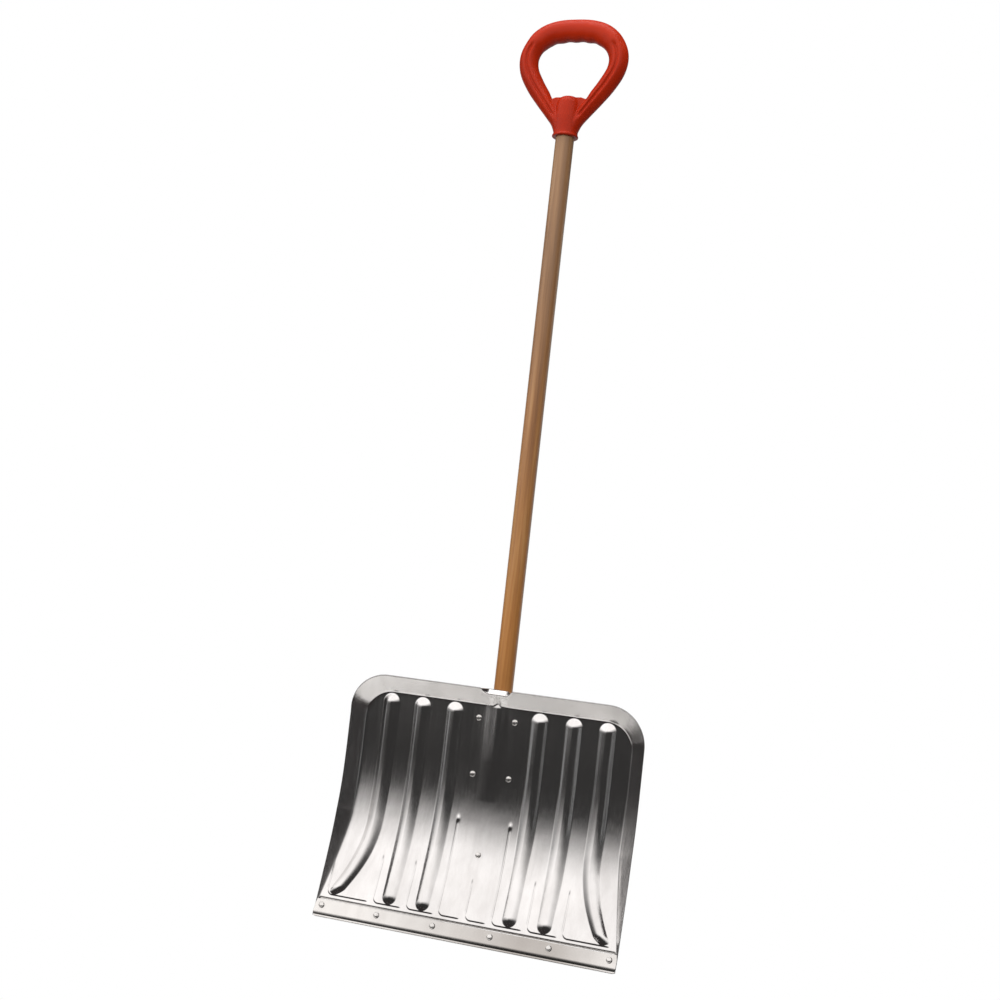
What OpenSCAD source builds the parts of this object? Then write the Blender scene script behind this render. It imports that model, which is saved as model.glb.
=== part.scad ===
// Snow shovel: ribbed sheet-aluminium scoop with a riveted steel edge, a straight wooden
// handle held in a pressed socket behind the scoop, and a moulded D-shaped grip.
// The handle runs along Z, the scoop faces -Y, and the origin is where the grip hangs on a hook.

/* [Scoop] */
// Width across the scoop's side walls
scoop_w = 457.2; // [440:1:480]
// Length of sheet from the top fold line to the toe, along its curve
scoop_len = 355; // [352:1:362]
// Thickness of the sheet
sheet_t = 1.5; // [1.2:0.1:2]
// How far the toe is bent forward from the handle's direction, degrees
bend_angle = 24; // [16:1:32]
// Height of the six pressed ribs
rib_h = 5.5; // [3:0.5:7]
// Half the width of a rib
rib_r = 13; // [11:0.5:13]
// Forward rise of the wall for each millimetre it spreads outward
wall_rise = 0.83; // [0.6:0.01:1]

/* [Edge strip] */
// Depth of the edge strip's front leaf
strip_depth = 24.5; // [20:0.5:26]
// Thickness of the strip's steel
strip_t = 1.1; // [0.8:0.1:1.5]
// Spacing of the six strip rivets
strip_pitch = 87.2; // [80:0.2:88]

/* [Handle] */
// Diameter of the wooden handle
handle_d = 28.6; // [26:0.2:28.8]
// Distance from the hanging point down to the scoop's top fold line
drop = 1014.5; // [900:0.5:1150]

/* [Grip] */
// Radial thickness of the grip's top bar
bar_t = 35; // [30:1:38]
// Front to back thickness of the grip's top bar
bar_depth = 31; // [26:1:34]

/* [Hidden] */
// Columns of the scoop's sheet: half-width, corner radius and top line of its flat floor
floor_half = scoop_w / 2 - 22;
floor_r = 40;
floor_top = 10;
rim_half = scoop_w / 2 - 1.6;
rim_r = 55;
rim_top = -15;
// The sheet bends between these two distances down from its top
bend_from = 80;
bend_to = 300;
// Front face of the sheet, forward of the handle's axis
face_y = -15.5;
// Rib centre lines, and where ribs start and end
rib_x = [66.3, 118.3];
rib_out = 169;
rib_s0 = 12;
rib_s1 = 323;
rib_turn = 200;
rib_spread = 35;
// Low pads near the toe: left edge, right edge and upper end of each
pads = [[-216, -149, 262], [-143, -97, 262], [-91, -46, 262], [-41, -6, 182], [0, 34, 262],
        [40, 88, 182], [93, 140, 262], [145, 216, 262]];
pad_s1 = 328;
pad_h = 1.4;
// Bulge of the sheet in front of the handle
bulge_h = 3.4;
bulge_half = 19;
bulge_end = 150;
// Lip pressed back toward the handle in the top wall's middle, and the pinch in the fold below it
lip_half = 12;
lip_end = 24;
lip_drop = 7.5;
lip_lean = 42.6;
lip_len = 10;
pinch_half = 6;
pinch_rise = 5;
// Socket rivets, down the sheet
riv_s = [30.2, 113.7];
riv_x = 28.1;
tip_s = 228;
hole_r = 2.5;
shank_r = 2.3;
gap = 0.15;
strip_row = scoop_len - 16;
handle_r = handle_d / 2;
handle_top = -100.5;
handle_foot_s = 168;
sock_t = 1.6;
sock_r = 14.75;
grip_foot = -152;

function ease(u) = let(v = max(0, min(1, u))) v * v * (3 - 2 * v);
function bend(s) = bend_angle * ease((s - bend_from) / (bend_to - bend_from));
step = 2.5;
steps = ceil((scoop_len + 10) / step);
drops = [for (i = 0, y = face_y, z = -drop; i <= steps;
          y = y - step * sin(bend((i + 0.5) * step)),
          z = z - step * cos(bend((i + 0.5) * step)), i = i + 1) [i * step, y, z]];
tab_y = [for (d = drops) [d[0], d[1]]];
tab_z = [for (d = drops) [d[0], d[2]]];
function sheet_y(s) = s < 0 ? face_y : lookup(s, tab_y);
function sheet_z(s) = s < 0 ? -drop - s : lookup(s, tab_z);
// A point at x across, s down the sheet and h in front of it
function on_sheet(x, s, h) = [x, sheet_y(s) - h * cos(bend(s)), sheet_z(s) + h * sin(bend(s))];

function rib_line(s) = rib_out + rib_spread * pow(max(0, min(1, (s - rib_turn) / 118)), 2);
function rib_bump(dx, s) =
  let(over = max(0, rib_s0 + rib_r - s, s - rib_s1 + rib_r), d = sqrt(dx * dx + over * over))
  d >= rib_r ? 0 : rib_h * cos(90 * d / rib_r);
function pad_bump(x, s, p) =
  s < p[2] || s > pad_s1 || x < p[0] || x > p[1] ? 0 :
  pad_h * min(1, (s - p[2]) / 40) * min(1, (x - p[0]) / 3) * min(1, (p[1] - x) / 3)
  * min(1, (pad_s1 - s) / 3);
function bulge(x, s) =
  abs(x) >= bulge_half || s > bulge_end ? 0 :
  bulge_h * pow(cos(90 * x / bulge_half), 1.5) * min(1, (bulge_end - s) / 60);
function relief(x, s) =
  let(h = max([for (c = rib_x) rib_bump(abs(x) - c, s)]), g = rib_bump(abs(x) - rib_line(s), s))
  max(h, g, max([for (p = pads) pad_bump(x, s, p)])) + bulge(x, s);

// Columns on one side of the middle, then both sides
half_cols = [1.5, 6, 12, 19, 32, 34, 39.5, 41.5, 53.3, 57.3, 61.3, 66.3, 71.3, 75.3, 79.3,
             88, 91.5, 97.5, 105.3, 109.3, 113.3, 118.3, 123.3, 127.3, 131.3, 140, 144.5, 148.5,
             156, 160, 164, 169, 173.5, 177.5, 182, 194, 203.5];
cols = concat([for (i = [len(half_cols) : -1 : 0]) i == len(half_cols) ? -floor_half : -half_cols[i]],
              [0], half_cols, [floor_half]);
rows = [0, 2.5, 5.5, 9, 14, 32, 80, 120, 150, 174, 181, 196, 212, 228, 244, 255, 264, 276, 288,
        300, 306, 309.5, 312, 314.5, 317.5, 321.5, scoop_len - floor_top];
nc = len(cols);
nr = len(rows);
function widen(s) = min(1, pow(max(0, s - 195) / 145, 1.3));
function side_at(s) = floor_half + (rim_half + 0.4 - floor_half) * widen(s);
// Sideways shift of a column as it runs down beside the outer rib
function col_x(c, s) =
  let(a = abs(c), side = sign(c), rib = rib_line(s) - rib_out,
      edge = side_at(s) - floor_half,
      in_rib = max(0, min(1, (a - 131.3) / (156 - 131.3))),
      out_rib = max(0, min(1, (a - 182) / (floor_half - 182))))
  side * (a + rib * in_rib * (1 - out_rib) + edge * out_rib);
function corner_drop(a) = let(e = max(0, a - floor_half + floor_r))
  floor_r - sqrt(max(0, floor_r * floor_r - e * e));
function pinch(c) = pinch_rise * max(0, 1 - abs(c) / pinch_half);
function top_at(c) = floor_top + corner_drop(abs(c)) - pinch(c);
function row_s(c, j) = let(t = top_at(c)) t + rows[j] / (scoop_len - floor_top) * (scoop_len - t);
function floor_pt(i, j, h) =
  let(c = cols[i], s = row_s(c, j), x = col_x(c, s),
      lean = (i == 0 ? -1 : i == nc - 1 ? 1 : 0) * -h * 0.36)
  on_sheet(x + lean, s, (i == 0 || i == nc - 1 || j == 0 ? 0 : relief(x, s)) + h);

// Boundary of the floor, from the left toe round the top to the right toe, then the rim
edge_n = 2 * (nr - 1) + nc;
function edge_ij(k) = k < nr ? [0, nr - 1 - k] : k < nr + nc - 1 ? [k - nr + 1, 0] :
  [nc - 1, k - nr - nc + 2];
function rim_flat(k) =
  let(e = edge_ij(k), c = cols[e[0]], s = row_s(c, e[1]), a = abs(c), sgn = sign(c),
      t0 = rim_top + rim_r, f0 = floor_top + floor_r, cf = floor_half - floor_r,
      cr = rim_half - rim_r)
  e[1] > 0 || e[0] == 0 || e[0] == nc - 1
  ? [sgn * (rim_half + 1.2 * widen(s)), t0 + (s - f0) / (scoop_len - f0) * (scoop_len - t0)]
  : a > cf
  ? let(q = acos(min(1, (a - cf) / floor_r))) [sgn * (cr + rim_r * cos(q)), t0 - rim_r * sin(q)]
  : [c * cr / cf, rim_top + lip_drop * (1 - ease((abs(c) - lip_half) / (lip_end - lip_half)))];
function rim_pt(k, back) =
  let(e = edge_ij(k), f = [col_x(cols[e[0]], row_s(cols[e[0]], e[1])), row_s(cols[e[0]], e[1])],
      r = rim_flat(k), d = r - f, m = max(0.01, norm(d)), o = d / m,
      h = max(0.4, wall_rise * (m + (e[1] > 0 ? 0 : pinch(cols[e[0]])))))
  on_sheet(r[0] + o[0] * back * 0.64, r[1] + o[1] * back * 0.64, h - back * 0.77);

front = [for (i = [0 : nc - 1]) for (j = [0 : nr - 1]) floor_pt(i, j, 0)];
rear = [for (i = [0 : nc - 1]) for (j = [0 : nr - 1]) floor_pt(i, j, -sheet_t)];
rim_front = [for (k = [0 : edge_n - 1]) rim_pt(k, 0)];
rim_rear = [for (k = [0 : edge_n - 1]) rim_pt(k, sheet_t)];
nf = nc * nr;
function fi(i, j) = i * nr + j;
function ei(k) = let(e = edge_ij(k)) fi(e[0], e[1]);
sheet_faces = concat(
  [for (i = [0 : nc - 2]) for (j = [0 : nr - 2]) each
    [[fi(i, j), fi(i + 1, j), fi(i + 1, j + 1)], [fi(i, j), fi(i + 1, j + 1), fi(i, j + 1)],
     [nf + fi(i, j), nf + fi(i + 1, j + 1), nf + fi(i + 1, j)],
     [nf + fi(i, j), nf + fi(i, j + 1), nf + fi(i + 1, j + 1)]]],
  [for (k = [0 : edge_n - 2]) each
    let(a = ei(k), b = ei(k + 1), ra = 2 * nf + k, rb = 2 * nf + k + 1,
        c = nf + a, d = nf + b, rc = 2 * nf + edge_n + k, rd = 2 * nf + edge_n + k + 1)
    [[a, ra, b], [b, ra, rb], [c, d, rc], [d, rd, rc], [ra, rc, rb], [rb, rc, rd]]],
  [for (i = [0 : nc - 2]) each
    let(a = fi(i, nr - 1), b = fi(i + 1, nr - 1))
    [[a, b, nf + b], [a, nf + b, nf + a]]],
  let(a = ei(0), ra = 2 * nf, rc = 2 * nf + edge_n) [[a, nf + a, ra], [nf + a, rc, ra]],
  let(a = ei(edge_n - 1), ra = 2 * nf + edge_n - 1, rc = 2 * nf + 2 * edge_n - 1)
    [[a, ra, nf + a], [nf + a, ra, rc]]);

// Places a child drawn with its Z axis along the sheet's front normal
module at_sheet(x, s) {
  p = on_sheet(x, s, 0);
  translate(p) rotate([90 - bend(s), 0, 0]) children();
}

module rivet(head_r, head_h, tail_r, tail_h, front_h, grip_len) {
  translate([0, 0, front_h]) rotate_extrude($fn = 40) polygon([[0, 0], [head_r, 0],
    [head_r * 0.94, head_h * 0.45], [head_r * 0.72, head_h * 0.78],
    [head_r * 0.4, head_h * 0.96], [0, head_h]]);
  translate([0, 0, front_h - grip_len]) cylinder(r = shank_r, h = grip_len + 0.3, $fn = 32);
  if (tail_h > 0)
    translate([0, 0, front_h - grip_len - tail_h]) cylinder(r = tail_r, h = tail_h + 0.2, $fn = 32);
}

module wall_lip() {
  fold_s = rim_top + lip_drop;
  translate([0, face_y - wall_rise * (floor_top - fold_s), -drop - fold_s]) rotate([-lip_lean, 0, 0])
    translate([-lip_half, 0, -0.6]) cube([2 * lip_half, sheet_t, lip_len]);
}

module scoop_blade() {
  color([0.78, 0.79, 0.8]) difference() {
    union() {
      polyhedron(points = concat(front, rear, rim_front, rim_rear), faces = sheet_faces, convexity = 12);
      wall_lip();
    }
    for (s = riv_s, side = [-1, 1])
        at_sheet(side * riv_x, s) cylinder(r = hole_r, h = 20, center = true, $fn = 16);
    at_sheet(0, tip_s) cylinder(r = hole_r, h = 20, center = true, $fn = 16);
    for (i = [0 : 5]) at_sheet((i - 2.5) * strip_pitch, strip_row)
      cylinder(r = hole_r, h = 20, center = true, $fn = 16);
  }
}

module wear_strip() {
  low = -sheet_t - gap - strip_t;
  color([0.72, 0.72, 0.7]) at_sheet(0, scoop_len) difference() {
    rotate([90, 0, 90]) linear_extrude(height = scoop_w, center = true)
      polygon([[-strip_t, low], [strip_depth - 2, low],
        [strip_depth - 2, -sheet_t - gap], [-gap, -sheet_t - gap], [-gap, gap],
        [strip_depth, gap], [strip_depth, gap + strip_t], [-0.5, gap + strip_t],
        [-strip_t, gap + strip_t - 0.6]]);
    for (i = [0 : 5]) translate([(i - 2.5) * strip_pitch, scoop_len - strip_row, 0])
      cylinder(r = hole_r, h = 20, center = true, $fn = 16);
  }
}

module strip_rivets() {
  color([0.8, 0.8, 0.78]) for (i = [0 : 5])
    at_sheet((i - 2.5) * strip_pitch, strip_row)
      rivet(4.6, 2.4, 3, 0, gap + strip_t + gap, sheet_t + 3 * gap + 2 * strip_t);
}

module upper_socket_rivets() {
  color([0.8, 0.8, 0.78]) for (side = [-1, 1])
    at_sheet(side * riv_x, riv_s[0]) rivet(4.4, 2.4, 4, 1.2, gap, sheet_t + sock_t + 3 * gap);
}

module lower_socket_rivets() {
  color([0.8, 0.8, 0.78]) for (side = [-1, 1])
    at_sheet(side * riv_x, riv_s[1]) rivet(4.4, 2.4, 4, 1.2, gap, sheet_t + sock_t + 3 * gap + 0.5);
}

module tip_rivet() {
  color([0.8, 0.8, 0.78]) at_sheet(0, tip_s)
    rivet(4.4, 2.4, 3.4, 1.2, gap, sheet_t + sock_t + 1.2 + 4 * gap);
}

module tip_washer() {
  color([0.75, 0.72, 0.6]) at_sheet(0, tip_s)
    translate([0, 0, -sheet_t - sock_t - 1.2 - 2 * gap]) difference() {
      cylinder(r = 6, h = 1.2, $fn = 32);
      translate([0, 0, -1]) cylinder(r = hole_r, h = 4, $fn = 32);
    }
}

// The socket is a pressed steel channel: two flanges on the sheet's back, a trough round
// the handle, a ramp that closes its lower end, and a tongue down to the last rivet.
module handle_socket() {
  back = face_y + sheet_t + gap;
  z_hi = sheet_z(6);
  z_lo = sheet_z(130);
  out_r = sock_r + sock_t;
  ramp_s = tip_s - 18;
  foot = sheet_z(150);
  color([0.55, 0.56, 0.57]) difference() {
    union() {
      translate([0, 0, z_lo]) linear_extrude(height = z_hi - z_lo) {
        difference() {
          union() {
            translate([-39, back]) square([78, sock_t]);
            translate([-out_r, back]) square([2 * out_r, -back]);
            circle(r = out_r, $fn = 64);
          }
          translate([-sock_r, back - 30]) square([2 * sock_r, 30 - back]);
          circle(r = sock_r, $fn = 64);
          translate([-60, back - 40]) square([120, 40]);
        }
      }
      rotate([90, 0, 90]) linear_extrude(height = 2 * out_r, center = true)
        polygon(concat(
          [[out_r, z_lo + 6], [out_r, foot]],
          [for (s = [ramp_s, tip_s + 8, tip_s + 16])
           let(p = on_sheet(0, s, -sheet_t - gap - sock_t)) [p[1], p[2]]],
          [for (s = [tip_s + 16, tip_s + 8, ramp_s]) let(p = on_sheet(0, s, -sheet_t - gap)) [p[1], p[2]]],
          [[out_r - sock_t, foot + 1], [out_r - sock_t, z_lo + 6]]));
    }
    translate([0, 0, foot + 1.5]) cylinder(r = sock_r, h = 30, $fn = 64);
    for (s = riv_s, side = [-1, 1])
        at_sheet(side * riv_x, s) cylinder(r = hole_r, h = 20, center = true, $fn = 32);
    at_sheet(0, tip_s) cylinder(r = hole_r, h = 20, center = true, $fn = 32);
  }
}

module handle() {
  foot = sheet_z(handle_foot_s - 14);
  color([0.68, 0.45, 0.24]) difference() {
    union() {
      translate([0, 0, foot]) cylinder(r = handle_r, h = handle_top - foot - 2, $fn = 96);
      translate([0, 0, handle_top - 2]) cylinder(r1 = handle_r, r2 = handle_r - 2, h = 2, $fn = 96);
      translate([0, 0, foot - 3]) cylinder(r1 = handle_r - 3, r2 = handle_r, h = 3, $fn = 96);
    }
    translate([0, 3, -128]) rotate([-90, 0, 0]) cylinder(r = 2.1, h = 20, $fn = 24);
  }
}

// Centre line of the grip's loop on one side: across, up, radial half-width, half-depth
loop_pts = [[0, 17.5, 17.5, 15.5], [25, 16, 17.5, 15.5], [46, 9.5, 17, 15.5], [62, -4, 16, 16],
            [71, -24, 15.5, 16.5], [69, -46, 15, 16.5], [57, -69, 14.5, 16], [42, -90, 13.5, 15],
            [27, -110, 12, 13.5], [16, -127, 10, 13], [11, -143, 8, 12]];
loop_sub = 4;
loop_last = len(loop_pts) - 1;
loop_n = loop_last * loop_sub;
function flip(p) = [-p[0], p[1], p[2], p[3]];
function loop_knot(i) = i < 0 ? flip(loop_pts[-i])
  : i > loop_last ? 2 * loop_pts[loop_last] - loop_pts[loop_last - 1] : loop_pts[i];
function loop_at(q) =
  let(i = floor(q), t = q - i, a = loop_knot(i - 1), b = loop_knot(i), c = loop_knot(i + 1),
      d = loop_knot(i + 2))
  0.5 * (2 * b + (c - a) * t + (2 * a - 5 * b + 4 * c - d) * t * t
  + (3 * b - a - 3 * c + d) * t * t * t);
loop_sides = 16;
function loop_ring(m) =
  let(side = m < loop_n ? -1 : 1, q = abs(m - loop_n) / loop_sub, p = loop_at(q),
      e = loop_at(q + 0.01) - loop_at(q - 0.01), n = [-e[1], e[0]] / norm([e[0], e[1]]),
      thick = p[2] * bar_t / 35, deep = p[3] * bar_depth / 31)
  [for (a = [0 : loop_sides - 1]) let(w = 360 * a / loop_sides)
    [side * (p[0] + n[0] * thick * cos(w)), deep * sin(w), p[1] + n[1] * thick * cos(w)]];
loop_all = [for (m = [0 : 2 * loop_n]) each loop_ring(m)];
loop_faces = concat(
  [for (m = [0 : 2 * loop_n - 1]) for (a = [0 : loop_sides - 1])
    let(b = (a + 1) % loop_sides, s = loop_sides)
    [m * s + a, m * s + b, (m + 1) * s + b, (m + 1) * s + a]],
  [[for (a = [loop_sides - 1 : -1 : 0]) a],
   [for (a = [0 : loop_sides - 1]) 2 * loop_n * loop_sides + a]]);

module d_grip() {
  color([0.8, 0.2, 0.12]) difference() {
    union() {
      polyhedron(points = loop_all, faces = loop_faces, convexity = 8);
      rotate_extrude($fn = 64) polygon([[0, grip_foot], [20.5, grip_foot], [20.5, grip_foot + 3],
        [18.8, grip_foot + 5], [19.4, -120], [17.5, -96], [12, -89.5], [0, -89]]);
      translate([0, 7, 0]) rotate([90, 0, 0]) linear_extrude(height = 14)
        polygon([[-23, -89], [23, -89], [30, -96], [20, -134], [-20, -134], [-30, -96]]);
    }
    translate([0, 0, grip_foot - 1])
        cylinder(r = handle_r + 0.15, h = handle_top - grip_foot + 1.3, $fn = 64);
    translate([0, 5, -128]) rotate([-90, 0, 0]) cylinder(r = 2.3, h = 30, $fn = 24);
    translate([0, 18.6, -128]) rotate([-90, 0, 0]) cylinder(r = 4.6, h = 30, $fn = 32);
  }
}

module grip_screw() {
  color([0.7, 0.7, 0.7]) translate([0, 4, -128]) rotate([-90, 0, 0]) difference() {
    union() {
      cylinder(r = 1.9, h = 15, $fn = 24);
      translate([0, 0, 14.8]) cylinder(r = 4.2, h = 2.2, $fn = 32);
    }
    translate([0, 0, 16.6]) cube([6, 1.2, 1.6], center = true);
    translate([0, 0, 16.6]) cube([1.2, 6, 1.6], center = true);
  }
}

scoop_blade();
wear_strip();
strip_rivets();
upper_socket_rivets();
lower_socket_rivets();
tip_rivet();
tip_washer();
handle_socket();
handle();
d_grip();
grip_screw();
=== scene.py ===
import math
import bpy
import numpy as np
from mathutils import Matrix, Vector


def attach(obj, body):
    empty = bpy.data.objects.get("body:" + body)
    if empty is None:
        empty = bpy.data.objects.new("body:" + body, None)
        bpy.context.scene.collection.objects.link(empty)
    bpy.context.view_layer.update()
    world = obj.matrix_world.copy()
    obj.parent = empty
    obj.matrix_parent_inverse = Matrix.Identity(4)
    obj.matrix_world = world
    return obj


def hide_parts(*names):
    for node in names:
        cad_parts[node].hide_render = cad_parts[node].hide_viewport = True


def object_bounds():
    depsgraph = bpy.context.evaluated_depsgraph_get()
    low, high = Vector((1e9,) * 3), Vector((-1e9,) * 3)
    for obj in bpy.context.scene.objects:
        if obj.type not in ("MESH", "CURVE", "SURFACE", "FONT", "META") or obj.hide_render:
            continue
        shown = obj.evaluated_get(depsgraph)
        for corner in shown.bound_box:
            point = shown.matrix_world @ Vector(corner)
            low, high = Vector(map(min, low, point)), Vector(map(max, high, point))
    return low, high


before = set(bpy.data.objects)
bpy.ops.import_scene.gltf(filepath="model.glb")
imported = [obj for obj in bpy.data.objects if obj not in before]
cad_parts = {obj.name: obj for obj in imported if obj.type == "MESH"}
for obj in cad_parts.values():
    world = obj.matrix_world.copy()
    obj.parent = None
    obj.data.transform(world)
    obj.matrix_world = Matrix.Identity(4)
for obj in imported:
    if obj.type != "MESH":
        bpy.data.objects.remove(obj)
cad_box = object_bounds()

MM = 0.001
scene = bpy.context.scene
lo, hi = cad_box

# ---------------------------------------------------------------- camera
CAM_AZ, CAM_YAW, CAM_PITCH, CAM_ROLL = (math.radians(a) for a in (16.526, 1.014, 3.714, 6.444))
CAM_DISTANCE = 2.079
CAM_BELOW_HOOK = 0.8525
SENSOR = 36.0
LENS_TO_SENSOR = 1.378
cam_data = bpy.data.cameras.new("camera")
cam_data.sensor_width = SENSOR
cam_data.lens = SENSOR * LENS_TO_SENSOR
cam_data.clip_start, cam_data.clip_end = 0.05, 100.0
camera = bpy.data.objects.new("camera", cam_data)
scene.collection.objects.link(camera)
heading = CAM_AZ + CAM_YAW
forward = Vector((-math.sin(heading) * math.cos(CAM_PITCH), math.cos(heading) * math.cos(CAM_PITCH),
                  math.sin(CAM_PITCH)))
side = Vector((math.cos(heading), math.sin(heading), 0))
up = side.cross(forward)
cam_x = side * math.cos(CAM_ROLL) + up * math.sin(CAM_ROLL)
cam_y = up * math.cos(CAM_ROLL) - side * math.sin(CAM_ROLL)
turn = Matrix((cam_x, cam_y, -forward)).transposed().to_4x4()
camera.matrix_world = Matrix.Translation(
    (CAM_DISTANCE * math.sin(CAM_AZ), -CAM_DISTANCE * math.cos(CAM_AZ), -CAM_BELOW_HOOK)) @ turn
scene.camera = camera


# ---------------------------------------------------------------- materials
class Nodes:
    """A small helper to write node trees in few lines."""

    def __init__(self, name):
        self.mat = bpy.data.materials.new(name)
        self.mat.use_nodes = True
        self.tree = self.mat.node_tree
        self.tree.nodes.clear()
        self.out = self.tree.nodes.new("ShaderNodeOutputMaterial")
        self.shader = self.tree.nodes.new("ShaderNodeBsdfPrincipled")
        self.link(self.shader.outputs[0], self.out.inputs[0])
        self.coord = self.tree.nodes.new("ShaderNodeTexCoord")

    def link(self, a, b):
        self.tree.links.new(a, b)

    def scaled(self, scale):
        m = self.tree.nodes.new("ShaderNodeMapping")
        m.inputs["Scale"].default_value = scale
        self.link(self.coord.outputs["Object"], m.inputs["Vector"])
        return m.outputs["Vector"]

    def noise(self, scale, detail=4.0, rough=0.5, stretch=(1, 1, 1), distort=0.0):
        n = self.tree.nodes.new("ShaderNodeTexNoise")
        n.inputs["Scale"].default_value = scale
        n.inputs["Detail"].default_value = detail
        n.inputs["Roughness"].default_value = rough
        n.inputs["Distortion"].default_value = distort
        self.link(self.scaled(stretch), n.inputs["Vector"])
        return n.outputs["Fac"]

    def xyz(self):
        """The three object coordinates, in metres."""
        sep = self.tree.nodes.new("ShaderNodeSeparateXYZ")
        self.link(self.coord.outputs["Object"], sep.inputs[0])
        return sep.outputs

    def remap(self, value, a, b, c, d):
        r = self.tree.nodes.new("ShaderNodeMapRange")
        for i, v in enumerate((a, b, c, d)):
            r.inputs[i + 1].default_value = v
        self.link(value, r.inputs[0])
        return r.outputs[0]

    def ramp(self, fac, stops):
        r = self.tree.nodes.new("ShaderNodeValToRGB")
        els = r.color_ramp.elements
        while len(els) < len(stops):
            els.new(0.5)
        for e, (pos, col) in zip(els, stops):
            e.position = pos
            e.color = (*col, 1)
        self.link(fac, r.inputs["Fac"])
        return r.outputs["Color"]

    def mix(self, fac, a, b):
        m = self.tree.nodes.new("ShaderNodeMix")
        m.data_type = "RGBA"
        for socket, v in ((m.inputs[0], fac), (m.inputs[6], a), (m.inputs[7], b)):
            if isinstance(v, (int, float)):
                socket.default_value = v
            elif isinstance(v, tuple):
                socket.default_value = (*v, 1)
            else:
                self.link(v, socket)
        return m.outputs[2]

    def math(self, op, a, b=0.0):
        m = self.tree.nodes.new("ShaderNodeMath")
        m.operation = op
        for socket, v in ((m.inputs[0], a), (m.inputs[1], b)):
            if isinstance(v, (int, float)):
                socket.default_value = v
            else:
                self.link(v, socket)
        return m.outputs[0]

    def bump(self, height, strength, distance, under=None):
        b = self.tree.nodes.new("ShaderNodeBump")
        b.inputs["Strength"].default_value = strength
        b.inputs["Distance"].default_value = distance
        self.link(height, b.inputs["Height"])
        if under is not None:
            self.link(under, b.inputs["Normal"])
        return b.outputs["Normal"]

    def put(self, name, value):
        socket = self.shader.inputs[name]
        if isinstance(value, (int, float)):
            socket.default_value = value
        elif isinstance(value, tuple):
            socket.default_value = (*value, 1)
        else:
            self.link(value, socket)


def metal(name, tone, rough, streak, spots=0.02, painted_dim_reflection=False, scuffed=False):
    """Bright rolled or brushed metal, its grain running down the object. Optionally, a darker reflection is
    painted into its colour part way
    along. Scuffed: matt streaks run down from where the handle presses on it."""
    n = Nodes(name)
    fine = n.noise(900, 3, 0.6, (1, 1, 0.012))
    broad = n.noise(55, 4, 0.6, (1, 1, 0.05))
    cloud = n.noise(9, 3, 0.5)
    dark = tuple(c * 0.86 for c in tone)
    tint = n.mix(n.remap(cloud, 0.3, 0.7, 0, 1), dark, tone)
    tint = n.mix(n.remap(broad, 0.4, 0.65, 0, 0.16), tint, (0.45, 0.42, 0.4))
    if painted_dim_reflection:
        # painted reflection: a darker grey-brown is painted into the colour across the middle and right,
        # standing in for a dimmer reflection
        x = n.xyz()[0]
        rise, fall = n.remap(x, -0.1, 0.09, 0, 1), n.remap(x, 0.14, 0.22, 1, 0)
        painted_reflection_dim = n.math("MULTIPLY", n.math("MULTIPLY", rise, fall), n.remap(cloud, 0.25, 0.7, 0.55, 1))
        tint = n.mix(painted_reflection_dim, tint, (0.36, 0.335, 0.31))
    n.put("Base Color", tint)
    n.put("Metallic", 1.0)
    grain = n.math("ADD", n.math("MULTIPLY", fine, 0.6), n.math("MULTIPLY", broad, 0.4))
    matt = n.remap(grain, 0.3, 0.7, rough - streak, rough + streak)
    if scuffed:
        x, _, z = n.xyz()
        across = n.remap(n.math("ABSOLUTE", x), 0.008, 0.04, 1, 0)
        down = n.math("MULTIPLY", n.remap(z, -1.13, -1.0, 0, 1), n.remap(z, -1.004, -0.998, 1, 0))
        streaks = n.remap(n.noise(150, 3, 0.6, (1, 1, 0.04)), 0.42, 0.62, 0, 0.2)
        matt = n.math("ADD", matt, n.math("MULTIPLY", n.math("MULTIPLY", across, down), streaks))
    n.put("Roughness", matt)
    scratch = n.bump(broad, 0.22, 0.0006, n.bump(fine, 0.16, 0.0002))
    dents = n.noise(16, 2, 0.5)
    n.put("Normal", n.bump(dents, spots, 0.02, scratch))
    return n.mat


def wood():
    """Stained ash with its grain along the handle, browner toward the grip."""
    n = Nodes("stained_ash")
    rings = n.noise(60, 5, 0.55, (1, 1, 0.03), 0.6)
    pores = n.noise(700, 3, 0.6, (1, 1, 0.02))
    patch = n.noise(6, 3, 0.5, (1, 1, 0.35))
    upper = n.ramp(rings, [(0.32, (0.17, 0.086, 0.038)), (0.52, (0.29, 0.158, 0.074)),
                           (0.68, (0.42, 0.26, 0.14))])
    lower = n.ramp(rings, [(0.32, (0.29, 0.105, 0.022)), (0.52, (0.45, 0.195, 0.052)),
                           (0.68, (0.60, 0.32, 0.11))])
    z = n.xyz()[2]
    base = n.mix(n.remap(z, -0.35, -0.9, 0, 1), upper, lower)
    base = n.mix(n.remap(patch, 0.35, 0.7, 0, 0.35), base, (0.2, 0.1, 0.045))
    n.put("Base Color", n.mix(n.remap(pores, 0.58, 0.75, 0, 0.5), base, (0.1, 0.05, 0.025)))
    n.put("Roughness", n.remap(pores, 0.3, 0.7, 0.34, 0.48))
    n.put("Coat Weight", 0.25)
    n.put("Coat Roughness", 0.25)
    n.put("Normal", n.bump(pores, 0.2, 0.0003, n.bump(rings, 0.12, 0.0008)))
    return n.mat


def plastic():
    """Red moulded plastic, faintly clouded, with a fine satin fleck."""
    n = Nodes("moulded_plastic")
    cloud = n.noise(18, 4, 0.6)
    fleck = n.noise(900, 2, 0.5)
    n.put("Base Color", n.mix(n.remap(cloud, 0.3, 0.7, 0, 1), (0.32, 0.015, 0.002), (0.395, 0.022, 0.003)))
    n.put("Roughness", n.remap(fleck, 0.3, 0.7, 0.36, 0.46))
    n.put("Specular IOR Level", 0.2)
    n.put("Normal", n.bump(fleck, 0.12, 0.0003))
    return n.mat


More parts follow.
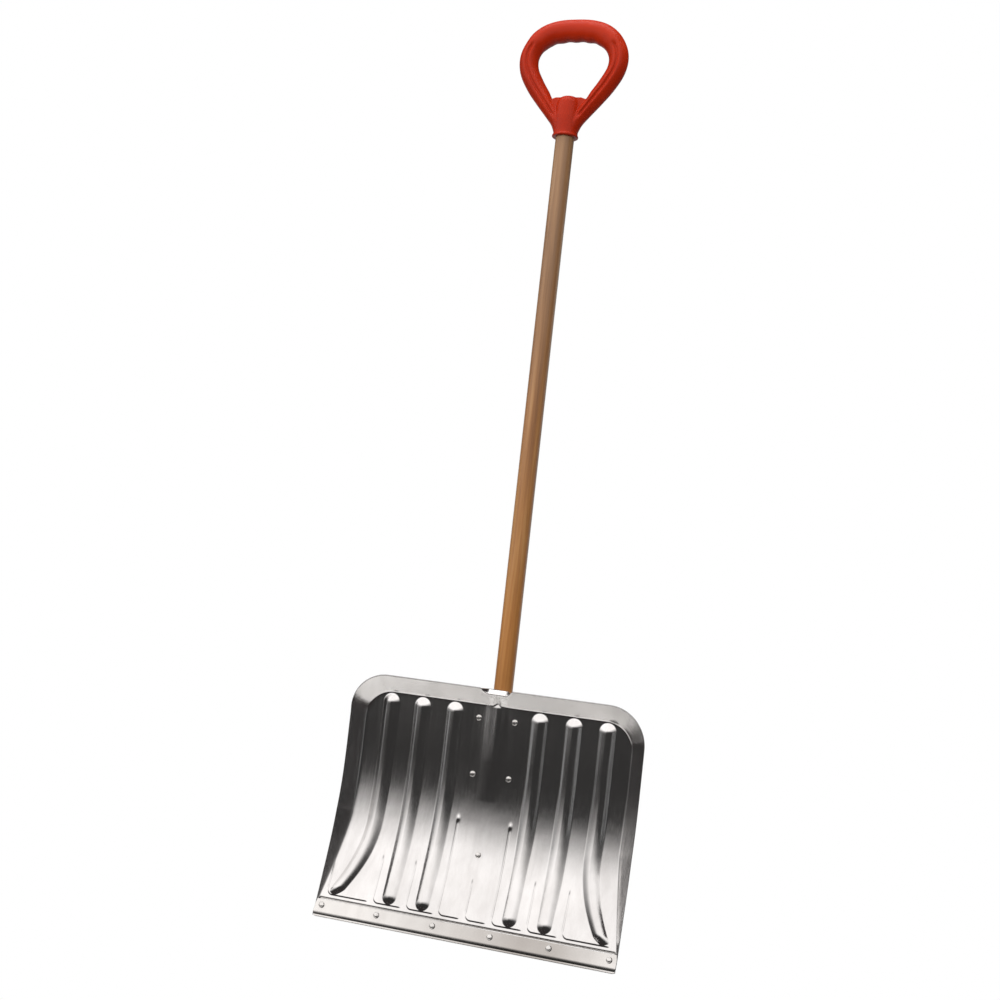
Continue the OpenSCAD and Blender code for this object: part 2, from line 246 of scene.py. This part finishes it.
M_SHEET = metal("brushed_aluminium", (0.88, 0.875, 0.87), 0.15, 0.06, scuffed=True)
# the edge strip gets a painted darker reflection in its colour, across its middle and right
M_STRIP = metal("rolled_steel_strip", (0.80, 0.79, 0.77), 0.17, 0.05, painted_dim_reflection=True)
M_RIVET = metal("rivet_steel", (0.86, 0.85, 0.83), 0.25, 0.06, 0.01)
M_SOCKET = metal("zinc_plated_steel", (0.62, 0.63, 0.64), 0.34, 0.08)
M_WOOD = wood()
M_GRIP = plastic()


# ---------------------------------------------------------------- mesh helpers
def make(name, verts, faces, material, slot, *replaced):
    """A smooth piece on the root body, in place of the CAD nodes it replaces."""
    mesh = bpy.data.meshes.new(name)
    mesh.from_pydata([tuple(v) for v in verts], [], [tuple(int(i) for i in f) for f in faces])
    mesh.validate()
    mesh.materials.append(material)
    mesh.polygons.foreach_set("use_smooth", [True] * len(mesh.polygons))
    mesh.update()
    ob = bpy.data.objects.new(name, mesh)
    scene.collection.objects.link(ob)
    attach(ob, "root")
    if replaced:
        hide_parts(*replaced)
    return ob


def dress(node, material):
    """Give a CAD node its material."""
    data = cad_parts[node].data
    data.materials.clear()
    data.materials.append(material)


for node, material in (("strip_rivets", M_RIVET), ("upper_socket_rivets", M_RIVET),
                       ("lower_socket_rivets", M_RIVET), ("tip_rivet", M_RIVET),
                       ("tip_washer", M_RIVET), ("handle_socket", M_SOCKET), ("handle", M_WOOD),
                       ("grip_screw", M_RIVET)):
    dress(node, material)

# ---------------------------------------------------------------- scoop sheet
# The same sheet as the CAD model's, drawn finely: x runs across it, s down it from its top fold, and
# h is height in front of it. All in millimetres until the mesh is made.
# its length down the sheet, its thickness, its bend in degrees and the slope of its wall
LENGTH, THICK, BEND, RISE = 355.0, 1.5, 24.0, 0.83
# how far its flat face lies in front of the handle's axis, and how far it hangs below the hook
FACE_Y, DROP = -15.5, 1014.5
# half width, corner radius and top edge of the flat floor, and the same of the rim outside the wall
FLOOR_HALF, FLOOR_R, FLOOR_TOP = 206.6, 40.0, 10.0
RIM_HALF, RIM_R, RIM_TOP = 227.0, 55.0, -15.0
# half width, height, upper end and lower end of a rib, and how far its ends are drawn out
RIB_R, RIB_H, RIB_S0, RIB_S1 = 13.0, 5.5, 12.0, 323.0
RIB_CAP, RIB_FOOT = 1.05, 1.15
# where the inner and middle pairs of ribs and the outer pair's upper part stand
RIB_INNER, RIB_MIDDLE, RIB_OUTER = 66.3, 118.3, 169


def ease(u):
    u = np.clip(u, 0, 1)
    return u * u * (3 - 2 * u)


def bend(s):
    """How far the sheet leans forward at s, in radians."""
    return np.radians(BEND) * ease((s - 80) / 220)


# the sheet's face line, summed up in short steps from above its top edge
LINE_START, LINE_STEP = -40, 0.5
S_LINE = np.arange(LINE_START, 400, LINE_STEP)
LEAN = bend(S_LINE[:-1] + LINE_STEP / 2)
Y_LINE = FACE_Y - np.concatenate([[0], np.cumsum(LINE_STEP * np.sin(LEAN))])
Z_LINE = -DROP - LINE_START - np.concatenate([[0], np.cumsum(LINE_STEP * np.cos(LEAN))])


def on_sheet(x, s, h):
    """A point of the sheet in metres."""
    a = bend(s)
    y = np.interp(s, S_LINE, Y_LINE) - h * np.cos(a)
    z = np.interp(s, S_LINE, Z_LINE) + h * np.sin(a)
    return np.stack([np.broadcast_to(x, y.shape), y, z], -1) * MM


def widen(s):
    """From 0 to 1, how far the sides have drawn out toward the toe."""
    return np.clip((np.maximum(s - 195, 0) / 145) ** 1.3, 0, 1)


def side_at(s):
    """Half width of the flat floor."""
    return FLOOR_HALF + (RIM_HALF + 0.4 - FLOOR_HALF) * widen(s)


def rib(dx, s):
    """Height of a rib at dx from its middle, with rounded ends."""
    over = np.maximum(0, np.maximum((RIB_S0 - s) / RIB_CAP + RIB_R, (s - RIB_S1) / RIB_FOOT + RIB_R))
    d = np.hypot(dx, over)
    u = np.minimum(1, d / RIB_R)
    return RIB_H * (0.8 * np.cos(np.pi / 2 * u) + 0.1 * (1 + np.cos(np.pi * u)))


def rib_line(s):
    """Where the outer ribs run, curving out toward the toe."""
    return RIB_OUTER + 35 * np.clip((s - 200) / 118, 0, 1) ** 2


# left edge, right edge and upper end of each low pad near the toe, then what all the pads share:
# their lower end, their height and the radius of their lower left corner
PADS = [(-216, -149, 250), (-143, -97, 250), (-91, -46, 250), (-41, -6, 180), (0, 34, 262),
        (40, 88, 180), (93, 140, 250), (145, 216, 254)]
PAD_S1, PAD_H, PAD_R = 323.0, 0.9, 9.0


def pad(x, s, p):
    """Height of a pad and depth of the crease along its left edge. The left and lower edges are crisp,
    the right and upper ones run out softly."""
    left, right, top = p
    qx, qs = left + PAD_R - x, s - (PAD_S1 - PAD_R)
    corner = np.hypot(np.maximum(qx, 0), np.maximum(qs, 0))
    d = np.where((qx > 0) & (qs > 0), corner, np.maximum(qx, qs)) - PAD_R
    crease = 1.1 * np.exp(-((x - left) / 1.1) ** 2)
    crease = crease * ease((s - top) / 8) * ease((PAD_S1 - PAD_R + 2 - s) / 4)
    return PAD_H * ease(-d / 1.9) * ease((right - x) / 7) * ease((s - top) / 70), crease


def floor_out(x, s):
    """How far a point lies outside the flat floor's outline."""
    a = np.abs(x)
    pinch = 5 * np.clip(1 - a / 6, 0, 1) * np.clip((s + 4) / 10, 0, 1)
    qx, qs = a - (FLOOR_HALF - FLOOR_R), (FLOOR_TOP + FLOOR_R) - s
    corner = np.hypot(np.maximum(qx, 0), np.maximum(qs, 0)) - FLOOR_R
    top = FLOOR_TOP - pinch - s
    flank = a - side_at(s)
    return np.where((qx > 0) & (qs > 0), corner, np.maximum(top, flank))


def lip(x, s):
    """The rim's middle, pressed back toward the handle."""
    return 14.5 + 0.091 * np.maximum(0, np.abs(x) - 12) ** 2 + 0.92 * (s + 7.5)


def swell(x, s):
    """A broad low bulge down the middle, where the handle lies behind the sheet."""
    across = np.clip(np.cos(np.pi / 2 * np.clip(x / 19, -1, 1)), 0, 1) ** 1.5
    return 3.4 * across * np.clip((150 - s) / 60, 0, 1) * np.clip((s + 2) / 14, 0, 1)


def relief(x, s):
    """Height of everything pressed into the sheet."""
    d = floor_out(x, s)
    wall = RISE * (d + np.sqrt(d * d + 1.2)) / 2
    h = np.maximum.reduce([rib(np.abs(x) - line, s) for line in (RIB_INNER, RIB_MIDDLE, rib_line(s))])
    lines = 0
    for p in PADS:
        raised, crease = pad(x, s, p)
        h = np.maximum(h, raised)
        lines = lines + crease
    h = h - lines
    # a dot at the upper end of each tall pad
    for x0 in (-40.0, 41.0):
        h = h + 0.8 * np.exp(-((x - x0) / 2.2) ** 2 - ((s - 181) / 4) ** 2)
    # the groove above the edge strip
    h = h - 1.7 * np.exp(-((s - 329.4) / 1.6) ** 2)
    inside = np.clip(-d / 2, 0, 1)
    h = wall + h * inside + swell(x, s)
    front = lip(x, s)
    return np.where(np.abs(x) < 26, (h + front - np.sqrt((h - front) ** 2 + 1.0)) / 2, h)


def rim_top(x):
    """Where the sheet starts at x, with its upper corners rounded."""
    e = np.clip(np.abs(x) - (RIM_HALF - RIM_R), 0, RIM_R)
    return RIM_TOP + RIM_R - np.sqrt(RIM_R ** 2 - e ** 2)


# spacing of the mesh's points across and down the sheet, and the rows of its toe, which are closer
ACROSS, STEP, TOE_ROWS = 0.8, 1.6, 70


def sheet_points():
    """Grids of points on the front and on the back of the sheet."""
    flat = np.arange(0, RIM_HALF - RIM_R, ACROSS)
    turn_n = int(RIM_R * 1.57 / ACROSS)
    arc = (RIM_HALF - RIM_R) + RIM_R * np.sin(np.linspace(0, np.pi / 2, turn_n))
    half = np.concatenate([flat, arc])
    xs = np.concatenate([-half[:0:-1], half])
    rows = np.concatenate([np.arange(RIM_TOP, 24, STEP * 0.6), np.arange(24, 312, STEP),
                           np.linspace(312, LENGTH, TOE_ROWS)])
    rows = (rows - RIM_TOP) / (LENGTH - RIM_TOP)
    top = rim_top(xs)
    s = top[:, None] + rows[None, :] * (LENGTH - top[:, None])
    x = xs[:, None] * (1 + 1.2 / RIM_HALF * widen(s))
    e = 0.05
    p = on_sheet(x, s, relief(x, s))
    du = on_sheet(x + e, s, relief(x + e, s)) - on_sheet(x - e, s, relief(x - e, s))
    dv = on_sheet(x, s + e, relief(x, s + e)) - on_sheet(x, s - e, relief(x, s - e))
    n = np.cross(du, dv)
    n /= np.linalg.norm(n, axis=-1, keepdims=True)
    n *= np.sign(-n[..., 1:2])
    return p, p - n * THICK * MM


def scoop():
    """Front, back and the narrow faces round the sheet's edge."""
    face, back = sheet_points()
    nx, ns = face.shape[:2]
    verts = np.concatenate([face.reshape(-1, 3), back.reshape(-1, 3)])
    idx = np.arange(nx * ns).reshape(nx, ns)
    off = nx * ns
    quads = np.stack([idx[:-1, :-1], idx[:-1, 1:], idx[1:, 1:], idx[1:, :-1]], -1).reshape(-1, 4)
    rear = quads[:, ::-1] + off
    rim = np.concatenate([idx[0, ::-1], idx[1:, 0], idx[-1, 1:], idx[-2:0:-1, -1]])
    nxt = np.roll(rim, -1)
    edge = np.stack([rim, nxt, nxt + off, rim + off], -1)
    faces = np.concatenate([quads, rear, edge])
    make("scoop_sheet", verts, faces, M_SHEET, "sheet_aluminium", "scoop_blade")


scoop()

# ---------------------------------------------------------------- grip
# The right half of the loop from the middle of its bar down to the socket: x, z, half thickness in
# the loop's plane and half thickness across it. In millimetres.
LOOP = [(0, 17.5, 17.5, 15.5), (25, 16, 17.5, 15.5), (46, 9.5, 17, 15.5), (62, -4, 16, 16),
        (71, -24, 15.5, 16.5), (69, -46, 15, 16.5), (57, -69, 14.5, 16), (42, -90, 13.5, 15),
        (27, -110, 12, 13.5), (16, -127, 10, 13), (11, -143, 8, 12)]


def loop_at(q):
    """A smooth curve through the loop's points, mirrored at the bar and run on past the socket."""
    mirrored = [(-p[0], *p[1:]) for p in LOOP[2:0:-1]]
    beyond = tuple(2 * np.array(LOOP[-1]) - np.array(LOOP[-2]))
    pts = np.array(mirrored + LOOP + [beyond])
    q = np.clip(np.asarray(q, float), 0, len(LOOP) - 1 - 1e-9)
    i = np.floor(q).astype(int) + 2
    t = (q - np.floor(q))[:, None]
    a, b, c, d = pts[i - 1], pts[i], pts[i + 1], pts[np.minimum(i + 2, len(pts) - 1)]
    square, cube = 2 * a - 5 * b + 4 * c - d, 3 * b - a - 3 * c + d
    return 0.5 * (2 * b + (c - a) * t + square * t * t + cube * t ** 3)


def closed_grid(shape):
    """Faces of m rings of k points each, capped at both ends."""
    m, k = shape
    i = np.arange(m * k).reshape(m, k)
    j = np.roll(i, -1, 1)
    faces = np.stack([i[:-1], j[:-1], j[1:], i[1:]], -1).reshape(-1, 4).tolist()
    return faces + [i[0, ::-1].tolist(), i[-1].tolist()]


def grip_loop():
    """The bar and the two arms, as one tube. Its section turns from round to squarish down the arms."""
    count, sides = 240, 72
    half = np.linspace(0, len(LOOP) - 1, count)
    p = loop_at(half)
    e = loop_at(np.minimum(half + 0.01, len(LOOP) - 1)) - loop_at(np.maximum(half - 0.01, 0))
    e[0] = (1, 0, 0, 0)
    n = np.stack([-e[:, 1], e[:, 0]], 1)
    n /= np.linalg.norm(n, axis=1, keepdims=True)
    p = np.concatenate([p[:0:-1] * (-1, 1, 1, 1), p])
    n = np.concatenate([n[:0:-1] * (-1, 1), n])
    q = np.concatenate([half[:0:-1], half])
    w = np.linspace(0, 2 * np.pi, sides, endpoint=False)[None]
    cw, sw = np.cos(w), np.sin(w)
    power = 1.55
    square = 1 / (np.abs(cw) ** power + np.abs(sw) ** power) ** (1 / power)
    arm = ease((q - 2.6) / 0.8)[:, None]
    shape = 1 - arm + square * arm
    r = p[:, 2:3] * shape * cw
    y = p[:, 3:4] * shape * sw
    # finger waves under the bar
    reach, pitch = 46, 23
    wave = 1.4 * (1 - np.cos(2 * np.pi * (p[:, :1] + reach) / pitch)) / 2
    wave = np.where(np.abs(p[:, :1]) < reach, wave, 0)
    r = r + np.where(cw < 0, wave * np.clip(-cw, 0, 1) ** 2, 0)
    # a channel down the front and back of each arm, between an outer rim and an inner ridge
    run = ease((q - 2.9) / 0.5)[:, None] * (1 - ease((q - 8.2) / 0.8)[:, None])
    at = r / p[:, 2:3]
    dip = 4.6 * np.exp(-(at / 0.16) ** 2) * run
    y = y - np.sign(sw) * np.minimum(dip, np.abs(y) * 0.6)
    x = p[:, :1] + n[:, :1] * r
    z = p[:, 1:2] + n[:, 1:2] * r
    return np.stack([x, y, z], -1)


def grip_socket():
    """The socket with its flared lip, turned from its radius and height, and slightly flat."""
    profile = [(0.5, -152), (19.9, -152), (20.5, -151.4), (20.5, -149.6), (19.8, -148.6),
               (18.9, -147.4), (18.8, -140), (19.2, -120), (18.6, -106), (17.6, -97), (15.4, -91.5),
               (11, -88.6), (0.5, -87.8)]
    turns = np.linspace(0, 2 * np.pi, 96, endpoint=False)
    flat = 0.96
    return np.array([[(r * math.cos(a), r * flat * math.sin(a), z) for a in turns] for r, z in profile])


def grip_web():
    """The web that joins the arms above the socket."""
    half_thick = 6.5
    outline = [(-27, -92), (-20, -89.5), (20, -89.5), (27, -92),
               (33, -99), (20, -136), (-20, -136), (-33, -99)]
    return np.array([[(x, y, z) for x, z in outline] for y in (-half_thick, half_thick)])


def grip():
    """The three shapes of the grip, joined into one moulding and softened where they meet."""
    v_all, f_all, base = [], [], 0
    for rings in (grip_loop(), grip_socket(), grip_web()):
        v = rings.reshape(-1, 3) * MM
        v_all.append(v)
        f_all += [[i + base for i in face] for face in closed_grid(rings.shape[:2])]
        base += len(v)
    ob = make("grip_moulding", np.concatenate(v_all), f_all, M_GRIP, "grip_plastic", "d_grip")
    rm = ob.modifiers.new("union", "REMESH")
    rm.mode = "VOXEL"
    rm.voxel_size = 0.0009
    rm.use_smooth_shade = True
    sm = ob.modifiers.new("soften", "SMOOTH")
    sm.factor = 0.5
    sm.iterations = 7
    dg = bpy.context.evaluated_depsgraph_get()
    final = bpy.data.meshes.new_from_object(ob.evaluated_get(dg))
    ob.modifiers.clear()
    ob.data = final
    final.materials.clear()
    final.materials.append(M_GRIP)
    final.polygons.foreach_set("use_smooth", [True] * len(final.polygons))


grip()

# ---------------------------------------------------------------- wear strip
def strip():
    """A folded steel edge: its section is carried across the toe, and its two lower corners are round.
    In the section, u is the way up from the toe's end and h the height in front of the sheet."""
    top, t, gap = 24.5, 1.1, 0.15
    front, low = gap + t, THICK + gap + t
    section = [(top, gap), (top, front - 0.3)]
    # the front leaf swells a little toward the toe and rolls back into the fold
    for k in range(40):
        u = top - 0.3 - 0.59 * k
        swollen = 0.5 * min(1.0, max(0.0, 12 - u) / 5)
        rolled = 1.5 * (1 - math.sin(math.pi / 2 * min(1.0, (u - 0.6) / 6.5)))
        section.append((u, front + swollen - rolled))
    mid, rad = (front - low) / 2, (front + low) / 2
    for k in range(13):
        a = math.pi * k / 12
        section.append((-t * math.sin(a), mid + rad * math.cos(a)))
    section += [(0.6, -low), (top - 2.3, -low), (top - 2, -low + 0.3), (top - 2, -THICK - gap),
                (0.1, -THICK - gap), (0.1, gap)]
    half, corner = 228.6, 4.5
    end = np.array([0, 0.4, 1.2, 2.5, corner])
    xs = np.concatenate([-half + end, np.linspace(-half + 8, half - 8, 140), (half - end)[::-1]])
    rings = []
    for x in xs:
        near = half - abs(x)
        cut = corner - math.sqrt(max(0.0, corner ** 2 - max(0.0, corner - near) ** 2))
        rings.append([on_sheet(x, np.float64(LENGTH - max(u, -t + cut)), np.float64(h)) for u, h in section])
    ring = np.array(rings)
    make("edge_strip", ring.reshape(-1, 3), closed_grid(ring.shape[:2]), M_STRIP, "strip_steel", "wear_strip")


strip()

# ---------------------------------------------------------------- stage and light
def staged(name, corners, faces, material):
    """A flat-faced piece of the studio, which isn't part of the object."""
    mesh = bpy.data.meshes.new(name)
    mesh.from_pydata(corners, [], faces)
    mesh.materials.append(material)
    ob = bpy.data.objects.new(name, mesh)
    scene.collection.objects.link(ob)
    return ob


pale = bpy.data.materials.new("pale_floor")
pale.use_nodes = True
pale.node_tree.nodes["Principled BSDF"].inputs["Base Color"].default_value = (0.8, 0.79, 0.78, 1)
pale.node_tree.nodes["Principled BSDF"].inputs["Roughness"].default_value = 0.9
FLOOR_Z = lo.z - 0.25


def card(name, x0, x1, y0, y1, z, material):
    """A level sheet of the studio."""
    return staged(name, [(x0, y0, z), (x1, y0, z), (x1, y1, z), (x0, y1, z)], [(0, 1, 2, 3)], material)


# the metal mirrors this matt strip of the floor
strip_card = card("floor_strip", -1.25, 1.9, -0.45, 0.0, FLOOR_Z, pale)
strip_card.visible_camera = False


def glow(name, strength, tint=(1, 1, 1), fade=False):
    """A diffusing panel. With fade, it dims toward its bottom and its lower right, and its far left
    stays lit lower down."""
    mat = bpy.data.materials.new(name)
    mat.use_nodes = True
    t = mat.node_tree
    t.nodes.clear()
    out = t.nodes.new("ShaderNodeOutputMaterial")
    em = t.nodes.new("ShaderNodeEmission")
    em.inputs["Color"].default_value = (*tint, 1)
    em.inputs["Strength"].default_value = strength
    t.links.new(em.outputs[0], out.inputs[0])
    if fade:
        bottom, full, dimmest = -1.02, 0.30, 0.033
        co = t.nodes.new("ShaderNodeTexCoord")
        dot = t.nodes.new("ShaderNodeVectorMath")
        dot.operation = "DOT_PRODUCT"
        dot.inputs[1].default_value = (-0.08, 0, 1)
        t.links.new(co.outputs["Object"], dot.inputs[0])
        r = t.nodes.new("ShaderNodeMapRange")
        r.interpolation_type = "SMOOTHSTEP"
        for i, v in enumerate((bottom, full, dimmest, strength)):
            r.inputs[i + 1].default_value = v
        sep = t.nodes.new("ShaderNodeSeparateXYZ")
        t.links.new(co.outputs["Object"], sep.inputs[0])
        value = sep.outputs["X"]
        for op, operand in (("MULTIPLY", -0.4), ("SUBTRACT", 0.32), ("MAXIMUM", 0.0), ("MINIMUM", 0.27)):
            step = t.nodes.new("ShaderNodeMath")
            step.operation = op
            step.inputs[1].default_value = operand
            t.links.new(value, step.inputs[0])
            value = step.outputs[0]
        total = t.nodes.new("ShaderNodeMath")
        t.links.new(dot.outputs["Value"], total.inputs[0])
        t.links.new(value, total.inputs[1])
        t.links.new(total.outputs[0], r.inputs[0])
        t.links.new(r.outputs[0], em.inputs["Strength"])
    return mat


def hidden(ob):
    """A panel that only lights the object and shows in its gloss."""
    ob.visible_camera = False
    ob.visible_shadow = False
    return ob


def wall_arc(name, radius, a0, a1, z0, z1, material, lean=0.0, n=24):
    """A curved upright panel round the object, between two azimuths in degrees."""
    pts, faces = [], []
    for i in range(n + 1):
        a = math.radians(a0 + (a1 - a0) * i / n)
        for z, r in ((z0, radius), (z1, radius - lean)):
            pts.append((r * math.sin(a), -r * math.cos(a), z))
    for i in range(n):
        faces.append((2 * i, 2 * i + 2, 2 * i + 3, 2 * i + 1))
    return hidden(staged(name, pts, faces, material))


WARM = (1, 0.965, 0.95)
wall_arc("key_panel", 3.4, -79, 55, -2.0, 2.9, glow("key_glow", 1.22, WARM, True), 1.6)
wall_arc("left_high", 3.4, -94, -79, -0.2, 2.9, glow("left_high_glow", 1.1, WARM), 1.6)
wall_arc("right_high", 3.4, 55, 66, 0.2, 2.9, glow("right_high_glow", 1.1, WARM), 1.6)
wall_arc("left_slip", 3.0, -77, -73, -2.4, -0.8, glow("left_glow", 0.35))
wall_arc("right_slip", 3.0, 47, 50, -2.4, -0.8, glow("right_glow", 0.3))
rear = wall_arc("rear_panel", 3.0, 125, 235, -3.4, 0.6, glow("rear_glow", 0.8))
rear.visible_diffuse = False
hidden(card("over_panel", -0.9, 0.4, -0.9, 0.3, 1.5, glow("over_glow", 1.8)))
hidden(card("rear_card", -1.2, 1.2, 0.12, 1.3, FLOOR_Z, glow("rear_card_glow", 0.45)))

# the floor that the camera sees: as white as the air round it, and too far down to hide a view from below
floor = card("floor", -2.5, 2.5, -2.5, 2.5, lo.z - 1.8, glow("white_floor", 1.0))
floor.visible_glossy = False
floor.visible_diffuse = False


def softbox(name, place, target, width, height, power, color=(1, 1, 1)):
    """A soft light for the wood and the plastic, out of the metal's reflections."""
    data = bpy.data.lights.new(name, "AREA")
    data.shape = "RECTANGLE"
    data.size, data.size_y = width, height
    data.energy = power
    data.color = color
    ob = bpy.data.objects.new(name, data)
    scene.collection.objects.link(ob)
    ob.location = place
    ob.rotation_mode = "QUATERNION"
    ob.rotation_quaternion = (Vector(target) - Vector(place)).to_track_quat("-Z", "Y")
    ob.visible_camera = False
    ob.visible_glossy = False


MIDDLE = (0, 0, -0.6)
DAYLIGHT = (1, 0.98, 0.95)
softbox("soft_front", (0.7, -3.2, 0.1), MIDDLE, 1.6, 1.6, 50, DAYLIGHT)
softbox("soft_left", (-2.6, -1.6, 0.6), MIDDLE, 0.8, 1.6, 22, DAYLIGHT)
softbox("soft_back", (-0.6, 3.2, 0.2), MIDDLE, 1.8, 1.8, 30)
softbox("soft_floor", (0.1, -0.15, 1.2), (0.1, -0.15, FLOOR_Z), 1.6, 0.5, 16)

# the air is white to the camera and nearly black to the metal
world = bpy.data.worlds.new("studio")
scene.world = world
world.use_nodes = True
wt = world.node_tree
wt.nodes.clear()
w_out = wt.nodes.new("ShaderNodeOutputWorld")
seen = wt.nodes.new("ShaderNodeBackground")
seen.inputs["Color"].default_value = (1, 1, 1, 1)
lit = wt.nodes.new("ShaderNodeBackground")
lit.inputs["Color"].default_value = (0.034, 0.029, 0.029, 1)
path = wt.nodes.new("ShaderNodeLightPath")
blend = wt.nodes.new("ShaderNodeMixShader")
wt.links.new(path.outputs["Is Camera Ray"], blend.inputs[0])
wt.links.new(lit.outputs[0], blend.inputs[1])
wt.links.new(seen.outputs[0], blend.inputs[2])
wt.links.new(blend.outputs[0], w_out.inputs[0])
scene.view_settings.view_transform = "Standard"
scene.view_settings.look = "None"
